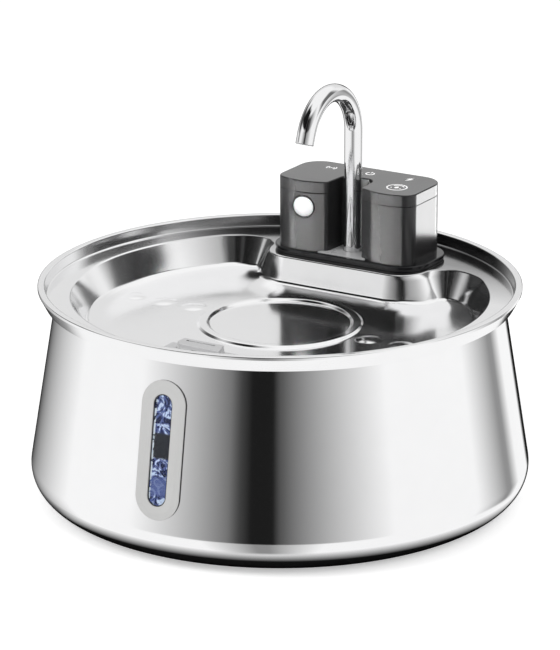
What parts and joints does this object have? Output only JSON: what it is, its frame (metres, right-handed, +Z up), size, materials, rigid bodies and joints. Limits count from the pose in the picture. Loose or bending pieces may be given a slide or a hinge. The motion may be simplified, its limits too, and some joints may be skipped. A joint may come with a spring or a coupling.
{
  "type": "pet water fountain",
  "caption": "Round steel pet fountain: conical tank with level window, lift-off drinking tray, filter cartridge, battery pump unit and swivelling gooseneck faucet.",
  "frame": {"origin": "under the centre of the tank, on the surface that the foot ring stands on", "axes": "+Z up; -Y towards the level window at the front; +Y towards the pump unit; +X to the right seen from the front"},
  "size_m": [0.26, 0.2603, 0.2068],
  "materials": {
    "polished_steel": "mirror polished stainless sheet",
    "faucet_chrome": "bright chrome",
    "foot_silicone": "matte translucent grey silicone",
    "black_silicone": "satin black silicone",
    "frame_grey": "fine satin",
    "clear_lens": "clear, glossy",
    "clamp_white": "satin",
    "housing_grey": "high gloss dark grey",
    "tower_grey": "satin",
    "cover_grey": "satin",
    "basket_white": "satin",
    "filter_foam": "open foam",
    "carbon_black": "non-woven pouch of carbon granules",
    "sensor_white": "satin milky",
    "board_green": "solder mask",
    "battery_blue": "shrink sleeve",
    "light_white": "diffused",
    "plain_steel": "plain",
    "winding_copper": "varnished wire in resin",
    "magnet_dark": "plain ferrite",
    "hose_silicone": "milky",
    "lead_black": "satin"
  },
  "bodies": {
    "tank": {"tank_shell": "polished_steel", "foot_ring": "foot_silicone", "window_frame": "frame_grey", "window_lens": "clear_lens", "window_gasket": "black_silicone", "window_clamp": "clamp_white", "window_nuts": "plain_steel"},
    "tray": {"tray_pan": "polished_steel"},
    "filter_cartridge": {"filter_cover": "cover_grey", "filter_basket": "basket_white", "filter_foam": "filter_foam", "carbon_pouch": "carbon_black"},
    "pump_unit": {"seat_gasket": "black_silicone", "housing_base": "housing_grey", "socket_seal": "black_silicone", "housing_screws": "plain_steel", "housing_shell": "housing_grey", "housing_lid": "housing_grey", "lid_seal": "black_silicone", "sensor_bezel": "housing_grey", "sensor_lens": "sensor_white", "sensor_board": "board_green", "sensor_element": "plain_steel", "control_board": "board_green", "status_lights": "light_white", "board_screws": "plain_steel", "battery_cradle": "tower_grey", "battery_pack": "battery_blue", "charge_board": "board_green", "charge_socket": "plain_steel", "flap_pin": "plain_steel", "pump_tower": "tower_grey", "tower_screws": "plain_steel", "tower_foot": "tower_grey", "hose_nipple": "tower_grey", "outlet_hose": "hose_silicone", "hose_clips": "plain_steel", "pump_lead": "lead_black", "lead_grommet": "black_silicone", "pump_body": "tower_grey", "pump_stator": "winding_copper", "motor_cap": "tower_grey", "pump_cover": "tower_grey", "pump_screws": "plain_steel", "pump_shaft": "plain_steel", "intake_sponge": "carbon_black"},
    "faucet": {"faucet_tube": "faucet_chrome"},
    "impeller": {"impeller": "basket_white", "rotor_magnet": "magnet_dark"},
    "charge_flap": {"charge_flap": "black_silicone"}
  },
  "joints": [
    {"name": "tray_lift", "type": "slide", "parent": "tank", "child": "tray", "axis": [0, 0, 1], "range_m": [0, 0.12]},
    {"name": "filter_lift", "type": "slide", "parent": "tray", "child": "filter_cartridge", "axis": [0, 0, 1], "range_m": [0, 0.04]},
    {"name": "pump_unit_lift", "type": "slide", "parent": "tray", "child": "pump_unit", "axis": [0, 0, 1], "range_m": [0, 0.112]},
    {"name": "faucet_swivel", "type": "hinge", "parent": "pump_unit", "child": "faucet", "pos_m": [0, 0.0752, 0.11], "axis": [0, 0, 1], "range_deg": [-90, 90]},
    {"name": "impeller_spin", "type": "hinge", "parent": "pump_unit", "child": "impeller", "pos_m": [0, 0.0827, 0.023], "axis": [1, 0, 0], "continuous": true},
    {"name": "charge_flap_hinge", "type": "hinge", "parent": "pump_unit", "child": "charge_flap", "pos_m": [0, 0.10405, 0.1128], "axis": [-1, 0, 0], "range_deg": [0, 100]}
  ]
}
